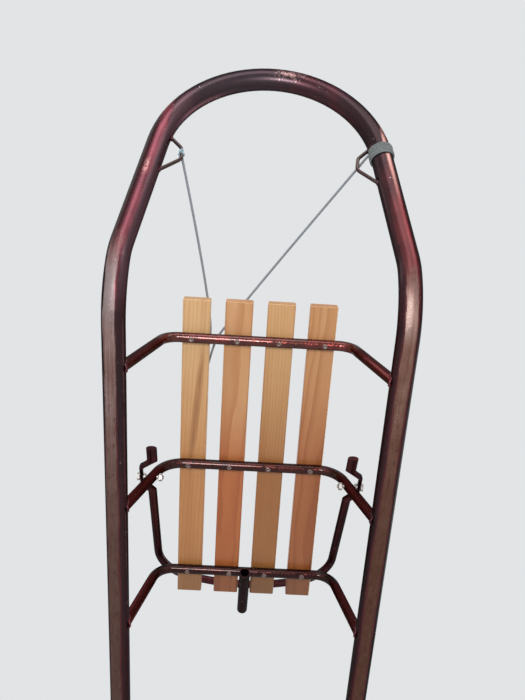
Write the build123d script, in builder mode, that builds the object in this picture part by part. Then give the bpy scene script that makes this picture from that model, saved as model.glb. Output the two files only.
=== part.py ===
"""Towed seat sled: steel tube runners, three tube arches, four wooden slats, folding backrest.

Millimetres. +Z is up, -Y is the nose, +X is the sled's left side. The runners stand on z = 0.
Stations are measured along the sled from the front ends of the slats, positive to the rear.
"""
import os
from math import acos, atan2, cos, degrees, hypot, pi, radians, sin, sqrt, tan

from build123d import *

os.makedirs("parts", exist_ok=True)

# Runner tube: one length, bent up at the nose and closed by a round bow
runner_radius = 15.0
runner_wall = 2.0
worn_flat_depth = 2.75
runner_gauge = 364.0
nose_corner_station = -42.0
tail_station = 625.0
nose_angle = 45.0
upturn_radius = 110.0
taper_start = 62.0
taper_radius = 150.0
bow_radius = 155.0
nose_reach = 366.0

# End plugs of the runner tube
plug_cap = 3.0
plug_depth = 18.0
plug_clearance = 0.2
plug_edge = 1.5

# Seat: arches of bent tube with slats across them
arch_radius = 7.5
seat_height = 145.0
foot_half_width = 172.0
slat_width = 40.0
slat_gap = 21.0
slat_end_chamfer = 1.0
slat_thickness = 16.0
slat_length = 510.0
slat_count = 4
slat_edge = 2.5
front_arch_inset = 55.0
middle_arch_inset = 249.0
rear_arch_inset = 50.0

# Backrest: a U of thinner tube outside the middle legs, folded back on to the slats
backrest_radius = 6.5
backrest_length = 270.0
backrest_narrowing = 3.5
corner_radius = 80.0
crown_radius = 240.0
crown_slope = 15.0
rest_gap = 0.3

# Hinge: the arms are pressed upright and set outwards where they pass the legs, and oval at their tips
hinge_drop = 45.0
press_thickness = 5.0
press_height = 15.0
press_front = 22.0
press_rear = 10.0
press_offset = 14.5
set_run_front = 14.0
set_run_rear = 19.0
tip_reach = 62.0
tip_inset = 2.5
tip_width = 15.5
tip_height = 8.5
hinge_gap = 0.3
bolt_radius = 3.0
bolt_clearance = 0.1
bolt_tip = 2.0
hex_flats = 10.0
head_height = 4.0
nut_height = 5.0
washer_radius = 5.5
washer_thickness = 3.0

# Tow loops of bent wire inside the nose
loop_wire_radius = 2.5
loop_bend_radius = 9.0
loop_low = 178.0
loop_high = 258.0
loop_reach_low = 210.0
loop_reach_high = 229.0
loop_half_low = 118.5
loop_half_high = 120.5

# Socket for a push handle, welded under the rear arch
socket_radius = 8.6
socket_bore = 7.1
socket_length = 122.0
socket_angle = 22.0
socket_ahead = 24.0
weld_depth = 0.8

# Tow cord
cord_radius = 1.75
knot_radius = 5.0
wrap_thickness = 3.4
wrap_width = 17.0
wrap_reach = 238.0

# Arches: station, half width at the shoulder corner, bend radius
ARCHES = {
    "arch_front": (front_arch_inset, 134.0, 26.0),
    "arch_middle": (slat_length - middle_arch_inset, 131.5, 40.0),
    "arch_rear": (slat_length - rear_arch_inset, 142.0, 32.0),
}

# Derived places
axis_height = runner_radius - worn_flat_depth
half_gauge = runner_gauge / 2
slope = radians(nose_angle)
nose_front = nose_corner_station - nose_reach * cos(slope) - runner_radius
origin_station = (nose_front + tail_station + plug_cap) / 2
bar_height = seat_height - arch_radius
seat_top = seat_height + slat_thickness
slat_pitch = slat_width + slat_gap


def row(station):
    """Distance along the sled of a station, from the middle of its length."""
    return station - origin_station


def on_nose(across, reach):
    """Point of the sloping nose plane, `reach` up the slope from the runner's corner."""
    along = row(nose_corner_station) - reach * cos(slope)
    return Vector(across, along, axis_height + reach * sin(slope))


def save(solid, label):
    """Label a finished piece and write its STEP file."""
    solid.label = label
    export_step(solid, f"parts/{label}.step")


# Where the tapering side of the nose meets the bow, by the tangent from the taper's start
bow_centre = nose_reach - bow_radius
to_centre = hypot(half_gauge, bow_centre - taper_start)
side_length = sqrt(to_centre**2 - bow_radius**2)
side_heading = atan2(bow_centre - taper_start, -half_gauge) - acos(side_length / to_centre)
bow_start_across = half_gauge + side_length * cos(side_heading)
bow_start_reach = taper_start + side_length * sin(side_heading)


def nose_half_width(reach):
    """Half width of the runner's centre line at a reach on the tapering side or on the bow."""
    if reach < bow_start_reach:
        return half_gauge + (reach - taper_start) / tan(side_heading)
    return sqrt(bow_radius**2 - (reach - bow_centre) ** 2)


# Runner loop
with BuildPart() as runner_loop:
    with BuildLine() as runner_path:
        side = FilletPolyline(
            (half_gauge, row(tail_station), axis_height),
            (half_gauge, row(nose_corner_station), axis_height),
            on_nose(half_gauge, taper_start),
            on_nose(bow_start_across, bow_start_reach),
            radius=[upturn_radius, taper_radius],
        )
        ThreePointArc(
            on_nose(bow_start_across, bow_start_reach),
            on_nose(0, nose_reach),
            on_nose(-bow_start_across, bow_start_reach),
        )
        mirror(side, about=Plane.YZ)
    with BuildSketch(Plane(runner_path.line @ 0, z_dir=runner_path.line % 0)):
        Circle(runner_radius)
    sweep(path=runner_path.line)
    split(bisect_by=Plane.XY, keep=Keep.TOP)
    tail_plane = Plane((0, row(tail_station), axis_height), x_dir=(-1, 0, 0), z_dir=(0, 1, 0))
    with BuildSketch(tail_plane):
        with Locations((half_gauge, 0), (-half_gauge, 0)):
            Circle(runner_radius - runner_wall)
        floor_cut = runner_radius
        with Locations((0, runner_wall - axis_height + floor_cut)):
            Rectangle(2 * runner_gauge, 2 * floor_cut, mode=Mode.INTERSECT)
    extrude(amount=-plug_depth - plug_clearance, mode=Mode.SUBTRACT)
save(runner_loop.part, "runner_loop")

# End plugs
for side_name, across in (("left", half_gauge), ("right", -half_gauge)):
    spigot_radius = runner_radius - runner_wall - plug_clearance
    spigot_floor = runner_wall + plug_clearance
    with BuildPart() as runner_plug:
        with BuildSketch(Plane((across, row(tail_station), axis_height), x_dir=(-1, 0, 0), z_dir=(0, 1, 0))):
            Circle(runner_radius)
            with Locations((0, runner_radius - axis_height)):
                Rectangle(2 * runner_radius, 2 * runner_radius, mode=Mode.INTERSECT)
        extrude(amount=plug_cap)
        chamfer(runner_plug.faces().sort_by(Axis.Y)[-1].edges(), length=plug_edge)
        with BuildSketch(Plane((across, row(tail_station), axis_height), x_dir=(-1, 0, 0), z_dir=(0, 1, 0))):
            Circle(spigot_radius)
            with Locations((0, spigot_floor - axis_height + runner_radius)):
                Rectangle(2 * runner_radius, 2 * runner_radius, mode=Mode.INTERSECT)
        extrude(amount=-plug_depth)
    save(runner_plug.part, f"runner_plug_{side_name}")

# Arches, with their feet coped round the runners
hinge_station, hinge_shoulder = ARCHES["arch_middle"][:2]
hinge_row = row(hinge_station)
hinge_height = bar_height - hinge_drop
arch_solids = {}
for arch_name, (station, shoulder_half, bend_radius) in ARCHES.items():
    with BuildPart() as arch:
        with BuildLine() as arch_path:
            FilletPolyline(
                (foot_half_width, row(station), axis_height),
                (shoulder_half, row(station), bar_height),
                (-shoulder_half, row(station), bar_height),
                (-foot_half_width, row(station), axis_height),
                radius=bend_radius,
            )
        with BuildSketch(Plane(arch_path.line @ 0, z_dir=arch_path.line % 0)):
            Circle(arch_radius)
        sweep(path=arch_path.line)
        with Locations((half_gauge, row(station), axis_height), (-half_gauge, row(station), axis_height)):
            Cylinder(runner_radius, 8 * arch_radius, rotation=(90, 0, 0), mode=Mode.SUBTRACT)
        if arch_name == "arch_middle":
            with Locations((0, hinge_row, hinge_height)):
                Cylinder(bolt_radius + bolt_clearance, 2 * runner_gauge, rotation=(0, 90, 0), mode=Mode.SUBTRACT)
    save(arch.part, arch_name)
    arch_solids[arch_name] = arch.part

# Slats
for index in range(slat_count):
    across = (index - (slat_count - 1) / 2) * slat_pitch
    with BuildPart() as slat:
        with BuildSketch(Plane((across, row(0), seat_height + slat_thickness / 2), x_dir=(1, 0, 0), z_dir=(0, 1, 0))):
            RectangleRounded(slat_width, slat_thickness, slat_edge)
        extrude(amount=slat_length)
        chamfer(slat.faces().filter_by(Axis.Y).edges(), length=slat_end_chamfer)
    save(slat.part, f"slat_{index + 1}")

# Hinge stack at each middle leg, from the nut inside to the bolt's head outside
leg_lean = atan2(foot_half_width - hinge_shoulder, bar_height - axis_height)
leg_half = hinge_shoulder + hinge_drop * tan(leg_lean)
leg_reach = arch_radius / cos(leg_lean)
nut_seat = leg_half - leg_reach - hex_flats / sqrt(3) * tan(leg_lean)
washer_seat = leg_half + leg_reach + washer_radius * tan(leg_lean)
press_inside = washer_seat + washer_thickness + hinge_gap
press_half_width = press_inside + press_thickness / 2
head_seat = press_inside + press_thickness + hinge_gap

# Backrest centre line, drawn flat: x across, y from the hinge to the crown
arm_half_width = press_half_width - press_offset
tip_half_width = arm_half_width - tip_inset
corner_half_width = arm_half_width - backrest_narrowing
crown_rise = crown_radius * (1 / cos(radians(crown_slope)) - 1)
crown_apex = backrest_length + crown_rise
corner_length = crown_apex - corner_half_width * tan(radians(crown_slope))
arm_start = press_rear + set_run_rear
with BuildLine() as flat_path:
    FilletPolyline(
        (arm_half_width, arm_start),
        (corner_half_width, corner_length),
        (0, crown_apex),
        (-corner_half_width, corner_length),
        (-arm_half_width, arm_start),
        radius=[corner_radius, crown_radius, corner_radius],
    )
flat_points = [flat_path.line @ (index / 200) for index in range(101)]


def seat_distance(tilt):
    """Least distance from the backrest's centre line to the slats, with the backrest tilted up."""
    seat_half = (slat_count * slat_pitch - slat_gap) / 2
    return min(
        hypot(
            max(abs(point.X) - seat_half, 0),
            max(hinge_row + point.Y * cos(tilt) - row(slat_length), 0),
            max(hinge_height + point.Y * sin(tilt) - seat_top, 0),
        )
        for point in flat_points
    )


# Least tilt at which the folded backrest clears the slats that it lies on
too_low, fold_tilt = 0.0, pi / 2
while fold_tilt - too_low > 1e-5:
    halfway = (too_low + fold_tilt) / 2
    if seat_distance(halfway) < backrest_radius + rest_gap:
        too_low = halfway
    else:
        fold_tilt = halfway
fold_plane = Plane((0, hinge_row, hinge_height), x_dir=(1, 0, 0), z_dir=(0, -sin(fold_tilt), cos(fold_tilt)))


def arm_section(reach, across, half_width, half_height):
    """Oval section of the left arm, `reach` along it from the hinge."""
    centre = fold_plane.from_local_coords((across, reach, 0))
    with BuildSketch(Plane(centre, x_dir=(1, 0, 0), z_dir=fold_plane.y_dir)) as section:
        Ellipse(half_width, half_height)
    return section.sketch


back_path = fold_plane.from_local_coords(flat_path.line)
with BuildSketch(Plane(back_path @ 0, x_dir=(1, 0, 0), z_dir=back_path % 0)) as round_rear:
    Circle(backrest_radius)

with BuildPart() as arm_end:
    flat_rear = arm_section(press_rear, press_half_width, press_thickness / 2, press_height / 2)
    flat_front = arm_section(-press_front, press_half_width, press_thickness / 2, press_height / 2)
    tip_rear = arm_section(-press_front - set_run_front, tip_half_width, tip_width / 2, tip_height / 2)
    tip_front = arm_section(-tip_reach, tip_half_width, tip_width / 2, tip_height / 2)
    loft(sections=[round_rear.sketch, flat_rear])
    loft(sections=[flat_rear, flat_front])
    loft(sections=[flat_front, tip_rear])
    loft(sections=[tip_rear, tip_front])

with BuildPart() as backrest_frame:
    sweep(sections=round_rear.sketch, path=back_path)
    add(arm_end.part)
    add(arm_end.part.mirror(Plane.YZ))
    with Locations((0, hinge_row, hinge_height)):
        Cylinder(bolt_radius + bolt_clearance, 2 * runner_gauge, rotation=(0, 90, 0), mode=Mode.SUBTRACT)
save(backrest_frame.part, "backrest_frame")

# Hinge bolts, nuts and washers, held by the middle legs
for side_name, hand in (("left", 1), ("right", -1)):
    head_plane = Plane((hand * head_seat, hinge_row, hinge_height), x_dir=(0, 1, 0), z_dir=(hand, 0, 0))
    nut_plane = Plane((hand * nut_seat, hinge_row, hinge_height), x_dir=(0, 1, 0), z_dir=(-hand, 0, 0))
    washer_plane = Plane((hand * washer_seat, hinge_row, hinge_height), x_dir=(0, 1, 0), z_dir=(hand, 0, 0))
    with BuildPart() as hinge_bolt:
        with BuildSketch(head_plane):
            RegularPolygon(hex_flats / 2, 6, major_radius=False)
        extrude(amount=head_height)
        with BuildSketch(head_plane):
            Circle(bolt_radius)
        extrude(amount=-(head_seat - nut_seat + nut_height + bolt_tip))
    save(hinge_bolt.part, f"hinge_bolt_{side_name}")
    with BuildPart() as hinge_nut:
        with BuildSketch(nut_plane):
            RegularPolygon(hex_flats / 2, 6, major_radius=False)
            Circle(bolt_radius, mode=Mode.SUBTRACT)
        extrude(amount=nut_height)
    save(hinge_nut.part, f"hinge_nut_{side_name}")
    with BuildPart() as hinge_washer:
        with BuildSketch(washer_plane):
            Circle(washer_radius)
            Circle(bolt_radius, mode=Mode.SUBTRACT)
        extrude(amount=washer_thickness)
    save(hinge_washer.part, f"hinge_washer_{side_name}")

# Tow loops, with their ends coped on the runner tube
loops = {}
for side_name, hand in (("left", 1), ("right", -1)):
    with BuildPart() as tow_loop:
        with BuildLine() as loop_path:
            FilletPolyline(
                on_nose(hand * nose_half_width(loop_high), loop_high),
                on_nose(hand * loop_half_high, loop_reach_high),
                on_nose(hand * loop_half_low, loop_reach_low),
                on_nose(hand * nose_half_width(loop_low), loop_low),
                radius=loop_bend_radius,
            )
        with BuildSketch(Plane(loop_path.line @ 0, z_dir=loop_path.line % 0)):
            Circle(loop_wire_radius)
        sweep(path=loop_path.line)
        add(runner_loop.part, mode=Mode.SUBTRACT)
    save(tow_loop.part, f"tow_loop_{side_name}")
    loops[side_name] = tow_loop.part

# Handle socket, an open tube under the rear arch that rises to the rear
lift = radians(socket_angle)
drop = arch_radius + socket_radius - weld_depth
socket_y = row(ARCHES["arch_rear"][0]) + drop * sin(lift) - socket_ahead * cos(lift)
socket_z = bar_height - drop * cos(lift) - socket_ahead * sin(lift)
socket_plane = Plane((0, socket_y, socket_z), x_dir=(1, 0, 0), z_dir=(0, cos(lift), sin(lift)))
with BuildPart() as handle_socket:
    with BuildSketch(socket_plane):
        Circle(socket_radius)
        Circle(socket_bore, mode=Mode.SUBTRACT)
    extrude(amount=socket_length)
    add(arch_solids["arch_rear"], mode=Mode.SUBTRACT)
save(handle_socket.part, "handle_socket")

# Cord wrap round the runner tube on the left side, and knot on the right loop
wrap_across = nose_half_width(wrap_reach)
wrap_turn = atan2(wrap_reach - bow_centre, wrap_across)
wrap_centre = on_nose(wrap_across, wrap_reach)
wrap_along = on_nose(-sin(wrap_turn), cos(wrap_turn)) - on_nose(0, 0)
with BuildPart() as cord_wrap:
    with BuildSketch(Plane(wrap_centre - wrap_along * (wrap_width / 2), z_dir=wrap_along)):
        Circle(runner_radius + wrap_thickness)
    extrude(amount=wrap_width)
    add(runner_loop.part, mode=Mode.SUBTRACT)
    add(loops["left"], mode=Mode.SUBTRACT)
save(cord_wrap.part, "cord_wrap")

knot_centre = on_nose(-(loop_half_low + loop_half_high) / 2, (loop_reach_low + loop_reach_high) / 2)
with BuildPart() as cord_knot:
    with Locations(knot_centre):
        Sphere(knot_radius)
    add(loops["right"], mode=Mode.SUBTRACT)
save(cord_knot.part, "cord_knot")

# Tow cord, from the knot back along the outermost right slat and forward again to the wrap
CORD = [
    (-119.0, -349.5, 167.2),
    (-64.0, -113.0, 163.0),
    (-82.0, -78.0, 162.8),
    (-98.0, -42.0, 162.8),
    (-104.0, 5.0, 162.8),
    (-101.0, 52.0, 162.8),
    (-104.5, 98.0, 162.8),
    (-101.5, 142.0, 162.8),
    (-105.0, 184.0, 162.8),
    (-103.5, 216.0, 162.8),
    (-105.5, 246.0, 162.8),
    (-99.7, 261.2, 162.8),
    (-83.3, 261.2, 162.8),
    (-77.5, 246.0, 162.8),
    (-80.0, 217.0, 162.8),
    (-77.5, 186.0, 162.8),
    (-81.0, 143.0, 162.8),
    (-78.0, 97.0, 162.8),
    (-82.0, 52.0, 162.8),
    (-79.0, 6.0, 162.8),
    (-76.5, -38.0, 162.8),
    (-68.0, -76.0, 162.8),
    (-58.0, -107.0, 163.0),
    (136.0, -366.0, 180.0),
]
turns = []
for before, corner, after in zip(CORD, CORD[1:], CORD[2:]):
    arriving = Vector(corner) - Vector(before)
    leaving = Vector(after) - Vector(corner)
    shorter = min(arriving.length, leaving.length)
    turns.append(0.45 * shorter / tan(radians(arriving.get_angle(leaving)) / 2))
with BuildPart() as tow_cord:
    with BuildLine() as cord_path:
        FilletPolyline(*CORD, radius=turns)
    with BuildSketch(Plane(cord_path.line @ 0, z_dir=cord_path.line % 0)):
        Circle(cord_radius)
    sweep(path=cord_path.line)
    tube_volume = tow_cord.part.volume
    for met in (cord_knot.part, cord_wrap.part, loops["right"], runner_loop.part):
        add(met, mode=Mode.SUBTRACT)
save(tow_cord.part, "tow_cord")
cord_length = cord_path.wire().length
print("cord radii", [round(value, 1) for value in turns])
print("cord length", round(cord_length, 1), "volume ratio", tube_volume / (pi * cord_radius**2 * cord_length))
print("fold tilt", round(degrees(fold_tilt), 2), "hinge", round(hinge_row, 3), round(hinge_height, 3))
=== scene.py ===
"""Looks of a towed seat sled: steel tube runners, tube arches, pine slats and a folding backrest.

Everything is in metres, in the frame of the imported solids: +Z is up, -Y is the nose, +X is the sled's left.
"""
import logging
import math
from dataclasses import dataclass
from enum import Enum
from functools import cached_property
from typing import Any, Callable, Optional, Sequence, Union

import bmesh
import bpy
from mathutils import Matrix, Vector


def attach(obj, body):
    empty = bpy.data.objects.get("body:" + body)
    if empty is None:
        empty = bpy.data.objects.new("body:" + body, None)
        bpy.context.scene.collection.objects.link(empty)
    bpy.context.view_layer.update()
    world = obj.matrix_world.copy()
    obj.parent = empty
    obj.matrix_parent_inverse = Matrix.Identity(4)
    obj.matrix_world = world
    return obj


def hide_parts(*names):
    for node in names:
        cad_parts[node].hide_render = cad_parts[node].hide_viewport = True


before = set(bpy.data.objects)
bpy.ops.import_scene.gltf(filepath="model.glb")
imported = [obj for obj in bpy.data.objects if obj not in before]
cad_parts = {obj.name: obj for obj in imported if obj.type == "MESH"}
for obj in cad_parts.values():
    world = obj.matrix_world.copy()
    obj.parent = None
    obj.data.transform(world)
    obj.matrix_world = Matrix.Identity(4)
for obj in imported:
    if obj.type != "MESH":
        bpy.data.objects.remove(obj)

LOG = logging.getLogger("sled")
NODES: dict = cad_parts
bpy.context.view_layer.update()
Point = tuple[float, float, float]
Colour = tuple[float, float, float]
Size = Union[float, Callable[[float], float]]

# The body that every piece made here rides on
FRAME_BODY = "frame"

# The solids' own sizes, where more than one class needs them. Angles are in radians.
ARCH_STATIONS = (-0.1011, 0.1049, 0.3039)
LEG_RADIUS = 0.0075
RUNNER_RADIUS = 0.015
RUNNER_X = 0.182
RUNNER_Z = 0.01225
NOSE_FOOT = -0.1981
NOSE_SLOPE = math.radians(45)
NOSE_TAPER = 0.1797


class Slot(Enum):
    """Names of the record's material slots."""

    PAINT = "maroon_paint"
    ZINC = "zinc"
    CORD = "cord"


class Side(Enum):
    """The sled's own sides, with the sign of X on each."""

    LEFT = 1.0
    RIGHT = -1.0


# Node trees


class Signal:
    """An output socket that takes part in Python arithmetic."""

    def __init__(self, tree: "NodeTree", socket: bpy.types.NodeSocket) -> None:
        """Wrap a socket.

        Args:
            tree: The tree that the socket belongs to.
            socket: The output socket.
        """
        self.tree = tree
        self.socket = socket

    def math(self, operation: str, *others: "Operand") -> "Signal":
        """Return the result of a Math node on this value and the others."""
        return self.tree.math(operation, self, *others)

    def __add__(self, other: "Operand") -> "Signal":
        """Add."""
        return self.math("ADD", other)

    def __sub__(self, other: "Operand") -> "Signal":
        """Subtract."""
        return self.math("SUBTRACT", other)

    def __rsub__(self, other: "Operand") -> "Signal":
        """Subtract, reflected."""
        return self.tree.math("SUBTRACT", other, self)

    def __mul__(self, other: "Operand") -> "Signal":
        """Multiply."""
        return self.math("MULTIPLY", other)

    def __truediv__(self, other: "Operand") -> "Signal":
        """Divide."""
        return self.math("DIVIDE", other)

    def __neg__(self) -> "Signal":
        """Negate."""
        return self.math("MULTIPLY", -1.0)

    def __abs__(self) -> "Signal":
        """Absolute value."""
        return self.math("ABSOLUTE")

    def __pow__(self, other: "Operand") -> "Signal":
        """Raise to a power."""
        return self.math("POWER", other)

    __radd__, __rmul__ = __add__, __mul__

    def step(self, low: float, high: float) -> "Signal":
        """Rise smoothly from 0 to 1, or fall where low is above high.

        Args:
            low: Where it is 0.
            high: Where it is 1.

        Returns:
            The smooth step.
        """
        rises = low < high
        return self.tree.make(
            "ShaderNodeMapRange", {"interpolation_type": "SMOOTHSTEP"},
            {"Value": self, "From Min": min(low, high), "From Max": max(low, high),
             "To Min": 0.0 if rises else 1.0, "To Max": 1.0 if rises else 0.0})

    def band(self, rise: float, top: float, fall: float, end: float) -> "Signal":
        """Rise from 0 to 1 between rise and top, and fall to 0 again between fall and end."""
        return self.step(rise, top) * self.step(end, fall)


Operand = Union[Signal, float, int]
Tint = Union[Signal, Colour]


class NodeTree:
    """A node tree that is built one call at a time."""

    def __init__(self, tree: bpy.types.NodeTree) -> None:
        """Start on an empty tree.

        Args:
            tree: Blender's tree; its nodes are removed.
        """
        self.tree = tree
        self.tree.nodes.clear()

    def node(self, kind: str, settings: Optional[dict[str, Any]] = None,
             inputs: Optional[dict[Union[str, int], Any]] = None) -> bpy.types.Node:
        """Add any node.

        Args:
            kind: The node's type.
            settings: Its properties, set before its sockets; "stops" are a colour ramp's.
            inputs: The values or links of its sockets, by name or by place.

        Returns:
            The new node.
        """
        node = self.tree.nodes.new(kind)
        for name, value in (settings or {}).items():
            if name == "stops":
                ramp = node.color_ramp
                while len(ramp.elements) < len(value):
                    ramp.elements.new(0.5)
                for element, (place, colour) in zip(ramp.elements, value):
                    element.position = place
                    element.color = (*colour, 1.0)
            else:
                setattr(node, name, value)
        for name, value in (inputs or {}).items():
            socket = node.inputs[name]
            if isinstance(value, Signal):
                self.tree.links.new(value.socket, socket)
            elif isinstance(value, tuple) and len(value) == 3 and socket.type == "RGBA":
                socket.default_value = (*value, 1.0)
            else:
                socket.default_value = value
        return node

    def make(self, kind: str, settings: Optional[dict[str, Any]] = None,
             inputs: Optional[dict[Union[str, int], Any]] = None, output: Union[str, int] = 0) -> Signal:
        """Add a node and return one of its outputs."""
        return Signal(self, self.node(kind, settings, inputs).outputs[output])

    def math(self, operation: str, *values: Operand) -> Signal:
        """Add a Math node on up to three values or links, and return its result."""
        return self.make("ShaderNodeMath", {"operation": operation}, dict(enumerate(values)))

    def axes(self, vector: Signal) -> tuple[Signal, Signal, Signal]:
        """Return the three parts of a vector."""
        parts = self.node("ShaderNodeSeparateXYZ", None, {0: vector}).outputs
        return Signal(self, parts[0]), Signal(self, parts[1]), Signal(self, parts[2])

    def vector(self, x: Operand, y: Operand, z: Operand) -> Signal:
        """Join three values."""
        return self.make("ShaderNodeCombineXYZ", None, {0: x, 1: y, 2: z})


class Surface(NodeTree):
    """A material's shader tree, with the patterns that the finishes share."""

    def __init__(self, name: str) -> None:
        """Start a material.

        Args:
            name: The material's name.
        """
        self.material = bpy.data.materials.new(name)
        self.material.use_nodes = True
        super().__init__(self.material.node_tree)
        self.place = self.make("ShaderNodeTexCoord", output="Object")

    @cached_property
    def xyz(self) -> tuple[Signal, Signal, Signal]:
        """The three parts of the place, which is in the frame's metres."""
        return self.axes(self.place)

    def normal(self) -> tuple[Signal, Signal, Signal]:
        """Return the three parts of the surface's own direction."""
        return self.axes(self.make("ShaderNodeTexCoord", output="Normal"))

    def noise(self, scale: float, detail: float = 2.0, rough: float = 0.5, place: Optional[Signal] = None,
              warp: float = 0.0) -> Signal:
        """Return smooth noise from 0 to 1, about 0.5."""
        return self.make("ShaderNodeTexNoise", None,
                         {"Vector": place or self.place, "Scale": scale, "Detail": detail, "Roughness": rough,
                          "Distortion": warp})

    def drawn(self, scale: Point, detail: float, rough: float, shift: float = 0.0,
              turn: Point = (0.0, 0.0, 0.0), warp: float = 0.0) -> Signal:
        """Return noise with its own scale along each axis, so that it is drawn out along one.

        Args:
            scale: How fine it is along each axis.
            detail: Its octaves.
            rough: The share of the finer octaves.
            shift: How far it is moved along X.
            turn: How it is turned.
            warp: How far it is distorted.

        Returns:
            The noise, from 0 to 1.
        """
        place = self.make("ShaderNodeMapping", {"vector_type": "POINT"},
                          {"Vector": self.place, "Location": (shift, 0.0, 0.0), "Rotation": turn, "Scale": scale})
        return self.noise(1.0, detail, rough, place, warp)

    def blend(self, share: Operand, first: Tint, second: Tint, mode: str = "MIX") -> Signal:
        """Mix two colours."""
        return self.make("ShaderNodeMix", {"data_type": "RGBA", "blend_type": mode, "clamp_factor": True},
                         {0: share, 6: first, 7: second}, output=2)

    def layers(self, colour: Tint, *layers: tuple) -> Signal:
        """Lay colours over one another.

        Args:
            colour: The undermost colour.
            layers: For each its share, its colour and, where it isn't a plain mix, its mode.

        Returns:
            The colour of them all.
        """
        for share, tint, *mode in layers:
            colour = self.blend(share, colour, tint, *mode)
        return colour

    def bump(self, height: Signal, distance: float, strength: float = 1.0) -> Signal:
        """Turn a height from 0 to 1 into a normal, with the real depth in metres."""
        return self.make("ShaderNodeBump", None, {"Height": height, "Distance": distance, "Strength": strength})

    def finish(self, **sockets: Any) -> bpy.types.Material:
        """Close the tree with a Principled shader.

        Args:
            sockets: Values or links by the shader's socket names, with _ for a space.

        Returns:
            The finished material.
        """
        shader = self.make("ShaderNodeBsdfPrincipled", None,
                           {name.replace("_", " "): value for name, value in sockets.items()})
        return self.close(shader)

    def close(self, shader: Signal) -> bpy.types.Material:
        """Close the tree with a shader and return the material."""
        self.node("ShaderNodeOutputMaterial", None, {"Surface": shader})
        return self.material


# Finishes


@dataclass
class Look:
    """A finish under way: its colour, and the values that vary over the surface with it."""

    colour: Signal
    rough: Signal
    metallic: Signal
    coat: Signal
    height: Signal


@dataclass(frozen=True)
class CherryPaint:
    """Dark cherry metallic paint on steel tube, greyed darker at the nose's bow as painted shade, scratched and
    chipped.
    """

    name: str = "cherry_paint"
    base: Colour = (0.130, 0.022, 0.029)
    deep: Colour = (0.034, 0.014, 0.017)
    bow_shade: Colour = (0.044, 0.037, 0.043)
    flake: Colour = (0.24, 0.045, 0.055)
    dust: Colour = (0.15, 0.09, 0.08)
    primer: Colour = (0.27, 0.15, 0.12)
    steel: Colour = (0.50, 0.44, 0.41)
    reflection: tuple[float, ...] = (0.12, 0.06, 0.065, 1.0)
    scratch_amount: float = 0.35
    gloss: float = 0.08
    depth: float = 0.00012

    def stain_and_painted_light(self, s: Surface, colour: Signal, cloud: Signal, smoke: Signal) -> Signal:
        """Return the colour under the flakes and the dust, which a plain tube's paint leaves as it is."""
        return colour

    def wear(self, s: Surface, look: Look, smoke: Signal, scratch: Signal) -> None:
        """Dent or rub the finished paint, which a plain tube's isn't."""

    def build(self) -> bpy.types.Material:
        """Build the finish.

        Returns:
            The paint's material.
        """
        s = Surface(self.name)
        x, y, _ = s.xyz
        cloud = s.noise(8.0, 4, 0.6)
        smoke = s.drawn((30, 10, 30), 3, 0.6)
        colour = s.blend((cloud * 0.6 + smoke * 0.4).step(0.34, 0.66), self.deep, self.base)
        # Painted shade: the nose's bow is darkened to a cool grey, more on one side than the other.
        bow = (y + smoke * 0.06).step(-0.36, -0.41) * (0.92 - x.step(-0.01, 0.05) * 0.42)
        colour = self.stain_and_painted_light(s, s.blend(bow, colour, self.bow_shade), cloud, smoke)
        flake = s.noise(2600.0, 1, 0.5).step(0.56, 0.74)
        dust = s.noise(55.0, 5, 0.7).step(0.58, 0.82)
        scratch = s.drawn((900, 35, 900), 2, 0.5, turn=(0.2, 0.0, 0.35), warp=0.3)
        scratches = scratch.step(0.70, 0.74) * s.noise(14.0, 2, 0.5).step(0.50, 0.70) * self.scratch_amount
        chips = s.noise(210.0, 2, 0.6).step(0.72, 0.74) * s.noise(11.0, 1, 0.5).step(0.48, 0.60)
        look = Look(
            colour=s.layers(colour, (flake * 0.30, self.flake), (dust * 0.14, self.dust),
                            (scratches, self.primer), (chips * 0.8, self.steel)),
            rough=0.28 + smoke * 0.12 + dust * 0.18 + scratches * 0.2,
            metallic=0.94 - dust * 0.3 - chips * 0.2,
            coat=self.gloss - dust * 0.05 - scratches * 0.04 - chips * 0.04,
            height=s.noise(420.0, 2, 0.5) * 0.18 + (1 - chips) * 0.4 - scratches * 0.4,
        )
        self.wear(s, look, smoke, scratch)
        return s.finish(Base_Color=look.colour, Metallic=look.metallic, Roughness=look.rough,
                        Coat_Weight=look.coat.math("MAXIMUM", 0.0), Coat_Roughness=0.10,
                        Specular_Tint=self.reflection, Normal=s.bump(look.height, self.depth))


@dataclass(frozen=True)
class ArchPaint(CherryPaint):
    """An arch's paint: duller legs, creased shoulders, and a flattened dent at each rivet."""

    leg: Colour = (0.074, 0.020, 0.021)
    leg_heights: tuple[float, float] = (0.121, 0.102)
    bar_heights: tuple[float, float] = (0.112, 0.124)
    shoulders: tuple[float, ...] = (0.094, 0.106, 0.126, 0.140)
    dents: tuple[float, ...] = ()
    dent_reach: tuple[float, float] = (0.0105, 0.0045)
    lip_reach: tuple[float, float] = (0.016, 0.011)

    def wear(self, s: Surface, look: Look, smoke: Signal, scratch: Signal) -> None:
        """Dull the legs and dent the bar.

        Args:
            s: The material under way.
            look: The paint's look, which is changed.
            smoke: The paint's slow noise; not used.
            scratch: The noise that its scratches are cut from; not used.
        """
        x, _, z = s.xyz
        leg = z.step(*self.leg_heights)
        bar = z.step(*self.bar_heights)
        look.colour = s.blend(leg * 0.75, look.colour, self.leg)
        look.coat -= leg * 0.48
        crease = s.drawn((170, 60, 60), 3, 0.6).step(0.30, 0.72)
        look.height += crease * (abs(x).band(*self.shoulders) * bar) * 5.0
        for place in self.dents:
            aside = abs(x - place)
            look.height = look.height - aside.step(*self.dent_reach) * 4.0 + aside.step(*self.lip_reach) * 1.2
        look.height -= s.noise(120.0, 3, 0.6).step(0.54, 0.70) * bar * 2.6
        look.rough -= z.step(0.110, 0.124) * 0.10


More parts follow.
